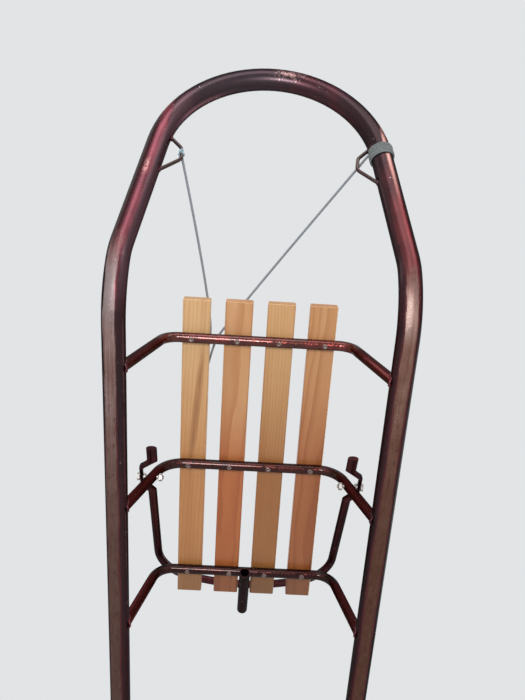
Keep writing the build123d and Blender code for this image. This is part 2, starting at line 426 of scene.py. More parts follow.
@dataclass(frozen=True)
class RunnerPaint(CherryPaint):
    """The runner loop's paint: sides darkened by painted shade, a painted highlight band up each side of the nose,
    and undersides rubbed bare.
    """

    name: str = "runner_paint"
    side_shade: Colour = (0.028, 0.021, 0.023)
    nose_highlight: Colour = (0.32, 0.100, 0.130)
    inner_shade_tint: Colour = (0.105, 0.060, 0.072)
    glint: Colour = (0.60, 0.36, 0.33)
    tan: Colour = (0.80, 0.72, 0.62)
    scuff_and_highlight: Colour = (0.64, 0.38, 0.32)
    crown: Colour = (0.33, 0.20, 0.19)
    rim: Colour = (0.22, 0.050, 0.052)
    rubbed: tuple[tuple[float, Colour], ...] = (
        (0.30, (0.120, 0.062, 0.055)), (0.48, (0.235, 0.145, 0.132)),
        (0.62, (0.33, 0.235, 0.225)), (0.80, (0.52, 0.44, 0.43)))
    strip_rear_shade: Colour = (0.098, 0.047, 0.035)
    mottled: Colour = (0.19, 0.120, 0.092)
    pitted: Colour = (0.052, 0.026, 0.023)
    cool: Colour = (0.27, 0.235, 0.24)
    warm: Colour = (0.94, 0.80, 0.68)
    coppery: Colour = (0.60, 0.40, 0.36)
    shine: Colour = (0.70, 0.60, 0.56)
    speck: Colour = (0.82, 0.76, 0.72)
    bend_centre: tuple[float, float] = (-0.1525, 0.12225)
    side_taper: tuple[float, float] = (0.062, 0.1666)
    nose_start: tuple[float, float] = (-0.14, -0.20)
    sides_only: tuple[float, float] = (0.095, 0.125)
    highlight_rise: tuple[float, float] = (-0.0085, -0.0010)
    highlight_fall: tuple[float, float] = (0.0090, 0.0030)
    inner_shade_edge: tuple[float, float] = (-0.0045, -0.0085)
    glint_across: tuple[float, ...] = (-0.0040, 0.0005, 0.0015, 0.0055)
    glint_along: tuple[float, float] = (-0.275, -0.345)
    highlight_spot_at: float = -0.338
    strip_across: tuple[float, ...] = (-0.0065, -0.0047, 0.0076, 0.0096)
    strip_start: tuple[float, float] = (-0.262, -0.208)
    rim_across: tuple[float, ...] = (-0.0090, -0.0060, 0.0090, 0.0115)
    rim_start: tuple[float, float] = (-0.40, -0.26)
    bend_along: tuple[float, ...] = (-0.235, -0.195, -0.175, -0.120)
    gleam_along: tuple[float, ...] = (-0.212, -0.196, -0.172, -0.140)
    gleam_edge: tuple[float, float] = (0.1862, 0.1825)
    crown_x: float = 0.024
    crown_along: tuple[float, float] = (-0.445, -0.462)

    def outward(self, s: Surface) -> Signal:
        """Measure outward from the loop's centre line, on the runners and the sides of the nose.

        Args:
            s: The material under way.

        Returns:
            The distance, below 0 towards the sled's middle.
        """
        x, y, _ = s.xyz
        reach = (NOSE_FOOT - y) / math.sin(NOSE_SLOPE)
        taper_start, taper = self.side_taper
        return abs(x) + s.math("MAXIMUM", reach - taper_start, 0.0) * taper - RUNNER_X + x * 0.011

    def stain_and_painted_light(self, s: Surface, colour: Signal, cloud: Signal, smoke: Signal) -> Signal:
        """Paint shade over the runners and the nose's sides, and painted highlights along both sides of the nose.

        Args:
            s: The material under way.
            colour: The plain paint.
            cloud: The paint's even noise.
            smoke: The paint's slow noise.

        Returns:
            The colour under the flakes and the dust.
        """
        x, y, _ = s.xyz
        nose = (y + cloud * 0.05).step(*self.nose_start)
        # Painted shade: the runners behind the nose are darkened nearly to black.
        colour = s.blend((1 - nose) * 0.78, colour, self.side_shade)
        nose = nose * abs(x).step(*self.sides_only)
        left = x.step(-0.1, 0.1)
        right = 1 - left
        middle = self.outward(s) + (smoke - 0.5) * 0.005 + 0.0022 - left * 0.0090
        # Painted highlight: a band along the middle of each side of the nose.
        highlight_band = (middle - left * 0.0052).step(*self.highlight_rise) * middle.step(*self.highlight_fall)
        inner = middle.step(*self.inner_shade_edge) * right
        glint = (middle - 0.0015).band(*self.glint_across)
        glint = glint * left * (y + cloud * 0.06).step(*self.glint_along) * x.step(0.100, 0.125)
        # Painted highlight: a pale orange spot on the nose's right side.
        scuff_and_highlight = abs(y - self.highlight_spot_at + (cloud - 0.5) * 0.02).step(0.012, 0.004)
        scuff_and_highlight = scuff_and_highlight * abs(middle - 0.002).step(0.0044, 0.0014) * right
        scuff_and_highlight = scuff_and_highlight * s.drawn((700, 240, 240), 3, 0.7).step(0.42, 0.58)
        return s.layers(
            colour,
            # Painted shade: the nose's sides are darkened away from the highlight band.
            (nose * (1 - highlight_band) * (0.80 + left * 0.08), self.side_shade),
            # Painted shade: a dark plum band on the inner part of the nose's right side.
            (nose * inner * 0.75, self.inner_shade_tint),
            # Painted highlight: the band is coloured rose, mostly on the right side.
            (nose * highlight_band * (0.12 + smoke * 0.5) * (1 - left * 0.72), self.nose_highlight),
            (glint * 0.70, self.glint),
            # Painted highlight: on the left side the band is tinted tan.
            (nose * left * highlight_band * 0.7, self.tan, "MULTIPLY"),
            (scuff_and_highlight * 0.45, self.scuff_and_highlight),
        )

    def worn(self, s: Surface) -> tuple[Signal, Signal]:
        """Find where the runners' undersides are rubbed.

        Args:
            s: The material under way.

        Returns:
            The rubbed share from 0 to 1, and the thin red rim along its edges.
        """
        x, y, z = s.xyz
        _, normal_y, normal_z = s.normal()
        ahead = s.math("MAXIMUM", self.bend_centre[0] - y, 0.0)
        turn = s.math("MINIMUM", s.math("ARCTAN2", ahead, self.bend_centre[1] - z), NOSE_SLOPE)
        under = -(normal_y * turn.math("SINE") + normal_z * turn.math("COSINE"))
        coarse = s.drawn((60, 7, 60), 4, 0.6) - 0.5
        fine = s.drawn((420, 30, 60), 3, 0.65) - 0.5
        offset = self.outward(s) + coarse * 0.006 + fine * 0.005
        facing = under + fine * 0.3 + coarse * 0.2
        fade = (y + coarse * 0.05 + fine * 0.03 - x * 0.06).step(*self.strip_start)
        strip = offset.band(*self.strip_across) * facing.step(0.34, 0.52) * fade
        rim = offset.band(*self.rim_across) * facing.step(0.20, 0.50)
        rim = rim * (y + coarse * 0.2).step(*self.rim_start)
        return strip, rim * (1 - strip)

    def bare(self, s: Surface, smoke: Signal, streak: Signal, specks: Signal) -> Signal:
        """Colour the rubbed steel along the runners.

        Args:
            s: The material under way.
            smoke: The paint's slow noise.
            streak: The noise of the long scratches.
            specks: The share of bright specks.

        Returns:
            The steel's colour.
        """
        x, y, _ = s.xyz
        ground = streak * 0.6 + s.noise(26.0, 4, 0.6) * 0.4
        mottle = s.drawn((240, 70, 70), 4, 0.7)
        behind = y.step(-0.16, -0.02)
        left = x.step(0.10, 0.15)
        bend = (y + smoke * 0.04).band(*self.bend_along)
        spots = s.drawn((1500, 800, 800), 2, 0.7).step(0.50, 0.66)
        gleam = (y + smoke * 0.02).band(*self.gleam_along)
        gleam = gleam * (x + smoke * 0.006).step(*self.gleam_edge) * left
        return s.layers(
            s.make("ShaderNodeValToRGB", {"stops": self.rubbed}, {0: ground}),
            # Painted shade: the rubbed strip is darkened towards the tail.
            ((y + smoke * 0.1).step(-0.22, 0.22) * 0.80, self.strip_rear_shade),
            (mottle.step(0.54, 0.70) * behind * 0.50, self.mottled),
            (mottle.step(0.46, 0.34) * behind * 0.55, self.pitted),
            (bend * x.step(-0.10, -0.15) * 0.55, self.cool),
            (left, self.warm, "MULTIPLY"),
            (left * bend * 0.35, self.coppery),
            (gleam * (spots * 0.80 + 0.05), self.shine),
            (specks, self.speck),
        )

    def wear(self, s: Surface, look: Look, smoke: Signal, scratch: Signal) -> None:
        """Rub the bow's crown and the undersides bare.

        Args:
            s: The material under way.
            look: The paint's look, which is changed.
            smoke: The paint's slow noise.
            scratch: The noise that its scratches are cut from.
        """
        x, y, _ = s.xyz
        crown = abs(x - self.crown_x).step(0.040, 0.004) * (y + smoke * 0.012).step(*self.crown_along)
        grain = scratch * 0.45 + s.noise(130.0, 5, 0.75) * 0.55
        crown_bare = (grain + crown * 0.16 + (smoke - 0.5) * 0.10).step(0.625, 0.665) * crown.step(0.02, 0.25)
        strip, rim = self.worn(s)
        streak = s.drawn((620, 9, 20), 4, 0.65)
        specks = s.drawn((560, 190, 190), 3, 0.7).step(0.66, 0.70)
        specks = specks * (y + smoke * 0.08).step(-0.27, -0.18) * y.step(0.02, -0.10)
        redness = 0.45 - x.step(-0.10, -0.15) * y.step(0.0, -0.12) * 0.41
        corner = (y + smoke * 0.1).step(-0.06, -0.20)
        look.colour = s.layers(look.colour, (crown_bare * 0.85, self.crown), (rim * redness, self.rim),
                               (strip, self.bare(s, smoke, streak, specks)))
        look.rough = look.rough + strip * (0.26 + streak * 0.14 - corner * 0.14) - specks * strip * 0.2
        look.metallic = look.metallic - strip * (0.52 - corner * 0.20) + specks * strip * 0.3
        look.coat = look.coat - strip * 0.08
        look.height = look.height - strip * 0.5 + strip * streak * 0.9 + specks * strip


@dataclass(frozen=True)
class VarnishedPine:
    """Varnished pine of one slat, cut from its own place in a log."""

    name: str
    centre: float
    pale: Colour
    mid: Colour
    late: Colour
    pith: tuple[float, float] = (0.03, -0.05)
    lean: float = 0.02
    ring: float = 0.0034
    seed: float = 0.0
    streak: Optional[tuple[float, float, float]] = None
    pale_edge: float = 0.0
    rear_darkening: Colour = (0.89, 0.66, 0.51)
    darkening_from: float = -0.15
    ringed: float = 0.62
    crack: Optional[tuple[float, float]] = None
    middle_height: float = 0.153
    streak_start: float = -0.065
    streak_length: float = 0.160
    streak_ends: tuple[float, float] = (0.24, 0.14)
    dark_start: tuple[float, float] = (-0.10, -0.04)
    dark_end: tuple[float, float] = (0.15, 0.07)
    tail_shade: tuple[float, float] = (0.300, 0.326)
    pores: Colour = (0.20, 0.085, 0.03)
    shaded: Colour = (0.42, 0.46, 0.50)
    heartwood: Colour = (0.33, 0.130, 0.040)
    split: Colour = (0.05, 0.025, 0.012)
    pale_edge_tint: Colour = (0.80, 0.62, 0.42)
    end_grain: Colour = (0.24, 0.11, 0.045)
    dirt: Colour = (0.16, 0.10, 0.06)

    def marks(self, s: Surface, slow: Signal, wavy: Signal, fibre: Signal) -> list[tuple]:
        """Find the slat's own marks: a dark streak along it, a crack or a pale edge.

        Args:
            s: The material under way.
            slow: The noise of the grain's long waves.
            wavy: The noise of its short ones.
            fibre: The noise of its fibres.

        Returns:
            The marks as layers.
        """
        x, y, _ = s.xyz
        own_x = x - self.centre
        marks = []
        if self.streak:
            top, width, foot = self.streak
            past = (y - self.streak_start).math("MAXIMUM", 0.0).math("MINIMUM", self.streak_length)
            lean = past * ((foot - top) / self.streak_length)
            line = abs(own_x - top - lean + slow * 0.003 + wavy * 0.0006)
            span = width * (0.75 + (y + 0.08).step(0.0, 0.10) * 0.50 - (y - 0.04).step(0.0, 0.12) * 0.60)
            band = (line / span + wavy * 0.8).step(1.0, 0.70) * (y + wavy * 0.03).step(*self.streak_ends)
            dark = (y + wavy * 0.02).step(*self.dark_start) * (y + wavy * 0.04).step(*self.dark_end)
            heart = (line / span).step(0.55, 0.10) * fibre.step(0.35, 0.65)
            marks.append((band * (0.22 + dark * 0.78) * (0.55 + heart * 0.40), self.heartwood))
        if self.crack:
            across, along = self.crack
            bent = abs(own_x - across + wavy * 0.004).step(0.0009, 0.0004)
            marks.append((bent * abs(y - along).step(0.012, 0.006) * 0.8, self.split))
        if self.pale_edge:
            # A pale line along one long edge of the slat.
            marks.append((own_x.step(0.0185, 0.0197) * self.pale_edge, self.pale_edge_tint))
        return marks

    def build(self) -> bpy.types.Material:
        """Build the finish.

        Returns:
            The slat's material.
        """
        s = Surface(self.name)
        x, y, z = s.xyz
        slow = s.drawn((9, 2.2, 9), 3, 0.5, shift=self.seed) - 0.5
        wavy = s.drawn((60, 7, 60), 2, 0.5, shift=self.seed) - 0.5
        away_x = x - self.centre - self.pith[0] + y * self.lean + slow * 0.020
        away_z = z - self.middle_height - self.pith[1] + wavy * 0.0015 + slow * 0.010
        radius = (away_x * away_x + away_z * away_z).math("SQRT")
        turns = (radius + (wavy + slow) * 0.0016) / self.ring
        year = s.noise(1.0, 0, 0.5, s.vector(turns.math("FLOOR") * 0.37 + self.seed, 0.0, 0.0))
        late = turns.math("FRACT").band(0.35, 0.90, 0.93, 1.0) * (0.45 + year * 0.9)
        fibre = s.drawn((1500, 22, 1500), 4, 0.7, shift=self.seed)
        pore = s.drawn((2600, 90, 2600), 2, 0.6).step(0.60, 0.75)
        tone = s.drawn((30, 3, 30), 3, 0.5, shift=self.seed * 2)
        end = abs(s.normal()[1]).step(0.6, 0.9)
        grime = s.noise(34.0, 4, 0.7).step(0.52, 0.78)
        colour = s.layers(
            self.pale,
            (tone.step(0.30, 0.72), self.mid),
            (late * self.ringed, self.late),
            (fibre.step(0.40, 0.75) * 0.26, self.late),
            (pore * 0.16, self.pores),
            # Painted shade: the slat is darkened and browned towards the rear.
            ((y + slow * 0.2).step(self.darkening_from, 0.17), self.rear_darkening, "MULTIPLY"),
            ((y + wavy * 0.02).step(*self.tail_shade) * 0.62, self.shaded, "MULTIPLY"),
            *self.marks(s, slow, wavy, fibre),
            (end * 0.38, self.end_grain),
            (grime * 0.10, self.dirt),
        )
        return s.finish(Base_Color=colour, Roughness=0.36 + fibre * 0.16 + grime * 0.12 + end * 0.2,
                        Coat_Weight=0.34 - grime * 0.15 - end * 0.25, Coat_Roughness=0.22,
                        Normal=s.bump(fibre * 0.6 + late * 0.5 - pore * 0.4, 0.00010, 0.7))


@dataclass(frozen=True)
class ZincPlate:
    """Dull zinc plate on bolts, nuts and rivets, with dirt in its corners."""

    name: str = "zinc_plate"
    bright: Colour = (0.56, 0.53, 0.50)
    dull: Colour = (0.33, 0.29, 0.27)
    spangle: Colour = (0.66, 0.64, 0.60)
    stain_and_painted_light: Colour = (0.17, 0.075, 0.06)
    stained: float = 0.3

    def build(self) -> bpy.types.Material:
        """Build the finish.

        Returns:
            The plate's material.
        """
        s = Surface(self.name)
        cells = s.make("ShaderNodeTexVoronoi", {"feature": "F1"}, {"Vector": s.place, "Scale": 900.0}, "Color")
        cloud = s.noise(260.0, 4, 0.6)
        stain_and_painted_light = s.noise(330.0, 5, 0.7).step(0.50, 0.72) * self.stained
        brush = s.drawn((3200, 260, 3200), 2, 0.5)
        colour = s.layers(self.dull, (cloud.step(0.3, 0.7), self.bright), (s.axes(cells)[0] * 0.18, self.spangle),
                          (stain_and_painted_light, self.stain_and_painted_light))
        return s.finish(Base_Color=colour, Metallic=0.92 - stain_and_painted_light * 0.5, Roughness=0.34 + cloud * 0.16 + stain_and_painted_light * 0.35,
                        Normal=s.bump(brush * 0.5 + cloud * 0.5, 0.00004))


@dataclass(frozen=True)
class MouldedPlastic:
    """Black moulded plastic of the end plugs, scuffed pale where it meets the ground."""

    name: str = "plug_plastic"
    black: Colour = (0.018, 0.018, 0.019)
    faded: Colour = (0.032, 0.031, 0.031)
    scuff_and_highlight: Colour = (0.16, 0.15, 0.14)
    rub_height: tuple[float, float] = (0.009, 0.001)

    def build(self) -> bpy.types.Material:
        """Build the finish.

        Returns:
            The plastic's material.
        """
        s = Surface(self.name)
        grain = s.noise(1500.0, 2, 0.6)
        cloud = s.noise(120.0, 4, 0.6)
        rub = s.drawn((300, 60, 900), 4, 0.7).step(0.46, 0.66) * s.xyz[2].step(*self.rub_height)
        return s.finish(Base_Color=s.layers(self.black, (cloud * 0.6, self.faded), (rub * 0.8, self.scuff_and_highlight)),
                        Roughness=0.48 + grain * 0.12 + rub * 0.2, Normal=s.bump(grain + cloud * 0.5, 0.00005))


@dataclass(frozen=True)
class BraidedCord:
    """Braided cord, whose UV map runs once round it and counts its diameters along it."""

    name: str = "tow_cord_braid"
    light: Colour = (0.30, 0.325, 0.36)
    dark: Colour = (0.115, 0.125, 0.145)
    fleck: Colour = (0.52, 0.55, 0.58)
    strands: int = 6
    soiled: Colour = (0.14, 0.125, 0.115)
    lay: float = 1.6
    roundness: float = 0.7

    def build(self) -> bpy.types.Material:
        """Build the finish.

        Returns:
            The cord's material.
        """
        s = Surface(self.name)
        along, across, _ = s.axes(s.make("ShaderNodeUVMap", {"uv_map": "UVMap"}))
        first = ((across * self.strands + along * self.lay) * math.tau).math("SINE")
        second = ((across * self.strands - along * self.lay) * math.tau).math("SINE")
        over = (first * second).step(-0.5, 0.5)
        height = over * abs(first) ** self.roundness + (1 - over) * abs(second) ** self.roundness
        fibre = s.noise(3800.0, 2, 0.6)
        soil = s.noise(60.0, 4, 0.6).step(0.35, 0.75)
        # Painted shade: the braid is darker in the grooves between its strands, lighter on their crowns.
        colour = s.layers(self.dark, (height, self.light), (fibre.step(0.55, 0.8) * 0.5, self.fleck),
                          (soil * 0.35, self.soiled))
        return s.finish(Base_Color=colour, Roughness=0.78 + fibre * 0.12, Sheen_Weight=0.25, Sheen_Roughness=0.5,
                        Normal=s.bump(height + fibre * 0.3, 0.00022))


@dataclass(frozen=True)
class PaleFloor:
    """Pale floor that shows only to a camera above it, so that the sled can be seen from below."""

    name: str = "stage_floor"
    colour: Colour = (0.70, 0.71, 0.715)
    mottled: Colour = (0.74, 0.745, 0.75)
    far: Colour = (0.76, 0.775, 0.79)

    def build(self) -> bpy.types.Material:
        """Build the finish, which runs out into the background.

        Returns:
            The floor's material.
        """
        s = Surface(self.name)
        x, y, _ = s.xyz
        distance = (x * x + y * y).math("SQRT").step(0.7, 2.6)
        ray = s.make("ShaderNodeLightPath", output="Is Camera Ray")
        back = s.make("ShaderNodeNewGeometry", output="Backfacing")
        mottle = s.blend(s.noise(3.0, 3, 0.5) * 0.5, self.colour, self.mottled)
        diffuse = s.make("ShaderNodeBsdfDiffuse", None, {"Color": mottle})
        glow = s.make("ShaderNodeEmission", None, {"Color": self.far, "Strength": 1.0})
        ground = s.make("ShaderNodeMixShader", None, {0: distance, 1: diffuse, 2: glow})
        clear = s.make("ShaderNodeBsdfTransparent")
        return s.close(s.make("ShaderNodeMixShader", None, {0: ray * (1 - back), 1: clear, 2: ground}))


# Meshes


def adopt(mesh: bpy.types.Mesh, name: str, material: bpy.types.Material, split: float = 35.0,
          instead_of: str = "") -> bpy.types.Object:
    """Make a finished piece of a mesh whose place is in its points, and let it ride on the frame body.

    Args:
        mesh: The piece's mesh.
        name: The piece's name.
        material: Its finish.
        split: The angle in degrees past which an edge stays sharp.
        instead_of: The solid that it replaces, if any.

    Returns:
        The piece.
    """
    mesh.name = name
    mesh.materials.clear()
    mesh.materials.append(material)
    mesh.polygons.foreach_set("use_smooth", [True] * len(mesh.polygons))
    mesh.set_sharp_from_angle(angle=math.radians(split))
    piece = bpy.data.objects.new(name, mesh)
    bpy.context.scene.collection.objects.link(piece)
    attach(piece, FRAME_BODY)
    if instead_of:
        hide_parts(instead_of)
    LOG.info("%s: %d faces, rides on %s", name, len(mesh.polygons), FRAME_BODY)
    return piece


def dress_node(node: str, material: bpy.types.Material) -> None:
    """Give a solid of the frame a finish in all its material slots.

    Args:
        node: The solid's name.
        material: Its finish.
    """
    piece = NODES[node]
    if not piece.data.materials:
        piece.data.materials.append(material)
    for slot in piece.material_slots:
        slot.material = material
    LOG.info("%s dressed in %s", node, material.name)


def outwards(build: bmesh.types.BMesh, place: Point = (0.0, 0.0, 0.0),
             axis: Optional[Point] = None) -> bpy.types.Mesh:
    """Point a shape's faces outwards and make it a mesh.

    Args:
        build: The shape, which is used up.
        place: Where its origin goes, if it has an axis.
        axis: The direction that its height takes, if it is turned.

    Returns:
        The mesh.
    """
    bmesh.ops.recalc_face_normals(build, faces=build.faces)
    if axis:
        turn = Vector((0.0, 0.0, 1.0)).rotation_difference(Vector(axis)).to_matrix().to_4x4()
        build.transform(Matrix.Translation(place) @ turn)
    mesh = bpy.data.meshes.new("part")
    build.to_mesh(mesh)
    build.free()
    return mesh


def joined(*meshes: bpy.types.Mesh) -> bpy.types.Mesh:
    """Join meshes into one and drop the parts.

    Args:
        meshes: The parts.

    Returns:
        The joined mesh.
    """
    build = bmesh.new()
    for mesh in meshes:
        build.from_mesh(mesh)
        bpy.data.meshes.remove(mesh)
    return outwards(build)


def tube(path: Sequence[Vector], radius: float, sides: int, closed: bool = False) -> bpy.types.Mesh:
    """Sweep a round section along points, with a UV map in diameters along and turns around.

    Args:
        path: The points of the centre line.
        radius: The section's radius.
        sides: The section's sides.
        closed: Whether the path ends where it starts.

    Returns:
        The swept mesh, with capped ends where it isn't closed.
    """
    count = len(path)
    build = bmesh.new()
    uv_layer = build.loops.layers.uv.new("UVMap")
    rings, across = [], None
    for index, point in enumerate(path):
        before = path[(index - 1) % count if closed else max(index - 1, 0)]
        after = path[(index + 1) % count if closed else min(index + 1, count - 1)]
        ahead = (after - before).normalized()
        if across is None:
            across = ahead.orthogonal().normalized()
        across = (across - ahead * across.dot(ahead)).normalized()
        up = ahead.cross(across)
        angles = [math.tau * side / sides for side in range(sides)]
        rings.append([build.verts.new(point + radius * (math.cos(angle) * across + math.sin(angle) * up))
                      for angle in angles])
    start = 0.0
    for index in range(count if closed else count - 1):
        lower, upper = rings[index], rings[(index + 1) % count]
        end = start + (path[(index + 1) % count] - path[index]).length
        for side in range(sides):
            following = (side + 1) % sides
            face = build.faces.new((lower[side], lower[following], upper[following], upper[side]))
            corners = ((start, side), (start, side + 1), (end, side + 1), (end, side))
            for loop, (along, turned_by) in zip(face.loops, corners):
                loop[uv_layer].uv = (along / (2.0 * radius), turned_by / sides)
        start = end
    if not closed:
        build.faces.new(list(reversed(rings[0])))
        build.faces.new(rings[-1])
    return outwards(build)


def at(size: Size, angle: float) -> float:
    """Return a size at an angle, where it may be a number or a function of the angle."""
    return size(angle) if callable(size) else size


def turned(profile: Sequence[tuple[Size, Size]], place: Point, axis: Point, sides: int,
           closed: bool = False) -> bpy.types.Mesh:
    """Turn a profile about an axis through a place.

    Args:
        profile: Radii and heights, each a number or a function of the angle round the axis.
        place: Where the profile's height is 0.
        axis: The direction of its height.
        sides: Facets around.
        closed: Whether the profile ends where it starts, as it does round a hole.

    Returns:
        The turned mesh. An open profile's ends are poles, or are capped.
    """
    build = bmesh.new()
    rings = []
    for radius, height in profile:
        angles = [math.tau * side / sides for side in range(sides if radius else 1)]
        rings.append([build.verts.new((at(radius, angle) * math.cos(angle), at(radius, angle) * math.sin(angle),
                                       at(height, angle))) for angle in angles])
    for lower, upper in zip(rings, rings[1:] + (rings[:1] if closed else [])):
        for side in range(sides):
            following = (side + 1) % sides
            corners = (lower[side % len(lower)], lower[following % len(lower)],
                       upper[following % len(upper)], upper[side % len(upper)])
            build.faces.new(list(dict.fromkeys(corners)))
    if not closed:
        for end in (rings[0][::-1], rings[-1]):
            if len(end) > 1:
                build.faces.new(end)
    return outwards(build, place, axis)


def hexagon(flats: float, height: float, hole: float, place: Point, axis: Point) -> bpy.types.Mesh:
    """Model a hexagon nut, or a forged head with a dished top where there is no hole.

    Args:
        flats: The size across its flats.
        height: Its height.
        hole: The radius of its hole, or 0 for a head.
        place: The middle of its seat.
        axis: The direction away from the seat.

    Returns:
        The mesh, with its corners turned down.
    """
    sides = 72
    inner = flats / 2 * 0.955
    slope = math.tan(math.radians(28))
    middle = hole or flats * 0.02
    dish = height - flats * 0.035

    def corner(angle: float) -> float:
        """Return the hexagon's radius at an angle."""
        return flats / 2 / math.cos(angle % (math.tau / 6) - math.tau / 12)

    def drop(angle: float) -> float:
        """Return how far the corners are turned down at an angle."""
        return (corner(angle) - inner) * slope

    profile = [(middle, 0.0), (inner, 0.0), (corner, drop if hole else 0.0),
               (corner, lambda angle: height - drop(angle)), (inner, height)]
    if hole:
        lead = hole * 0.16
        profile += [(hole + lead, height), (hole, height - lead)]
    else:
        profile += [(inner * 0.82, height), (inner * 0.74, dish), (middle, dish)]
    return turned(profile, place, axis, sides, closed=bool(hole))


def nose_point(across: float, reach: float) -> Vector:
    """Point of the sloping nose plane, at a reach up its slope from the runner's corner."""
    return Vector((across, NOSE_FOOT - reach * math.cos(NOSE_SLOPE), RUNNER_Z + reach * math.sin(NOSE_SLOPE)))


def evaluated(carrier: bpy.types.Object) -> bpy.types.Mesh:
    """Return an object's shape as a plain mesh, with its modifiers applied."""
    graph = bpy.context.evaluated_depsgraph_get()
    return bpy.data.meshes.new_from_object(carrier.evaluated_get(graph), depsgraph=graph)


# Geometry Nodes


class Pattern(NodeTree):
    """A Geometry Nodes tree with named inputs."""

    def __init__(self, name: str) -> None:
        """Start a tree.

        Args:
            name: The tree's name, and that of the mesh it starts from.
        """
        group = bpy.data.node_groups.new(name, "GeometryNodeTree")
        super().__init__(group)
        self.name = name
        for in_out in ("INPUT", "OUTPUT"):
            group.interface.new_socket("Geometry", in_out=in_out, socket_type="NodeSocketGeometry")
        self.values: dict[str, Union[float, int]] = {}

    def sizes(self, values: dict[str, Union[float, int]]) -> list[Signal]:
        """Add named inputs with their values.

        Args:
            values: The values by their names, whole numbers for counts and seeds.

        Returns:
            The geometry that the tree is given, and then the inputs in order.
        """
        for name, value in values.items():
            kind = "NodeSocketInt" if isinstance(value, int) else "NodeSocketFloat"
            socket = self.tree.interface.new_socket(name, in_out="INPUT", socket_type=kind)
            self.values[socket.identifier] = value
        source = self.node("NodeGroupInput")
        return [Signal(self, source.outputs[name]) for name in ("Geometry", *values)]

    def run(self, points: Sequence[Point], edges: Sequence[tuple[int, int]], geometry: Signal,
            material: bpy.types.Material) -> bpy.types.Mesh:
        """Close the tree, run it on points and return a plain mesh.

        Args:
            points: The points that the tree starts from.
            edges: The edges between them, where it starts from paths.
            geometry: The tree's last geometry.
            material: The finish that the tree sets.

        Returns:
            The result as a plain mesh.
        """
        real = self.make("GeometryNodeRealizeInstances", None, {0: geometry})
        dressed = self.make("GeometryNodeSetMaterial", None, {"Geometry": real, "Material": material})
        self.node("NodeGroupOutput", None, {0: dressed})
        seed = bpy.data.meshes.new(self.name)
        seed.from_pydata(points, edges, [])
        carrier = bpy.data.objects.new(self.name, seed)
        bpy.context.scene.collection.objects.link(carrier)
        modifier = carrier.modifiers.new("pattern", "NODES")
        modifier.node_group = self.tree
        for identifier, value in self.values.items():
            modifier[identifier] = value
        mesh = evaluated(carrier)
        carrier.modifiers.remove(modifier)
        bpy.data.objects.remove(carrier)
        return mesh


# Sub-assemblies


@dataclass
class Runner:
    """The runner loop and its end plugs."""

    paint: RunnerPaint = RunnerPaint()
    plastic: MouldedPlastic = MouldedPlastic()

    def build(self) -> None:
        """Give the solids their finishes."""
        dress_node("runner_loop", self.paint.build())
        plastic = self.plastic.build()
        for side in Side:
            dress_node(f"runner_plug_{side.name.lower()}", plastic)


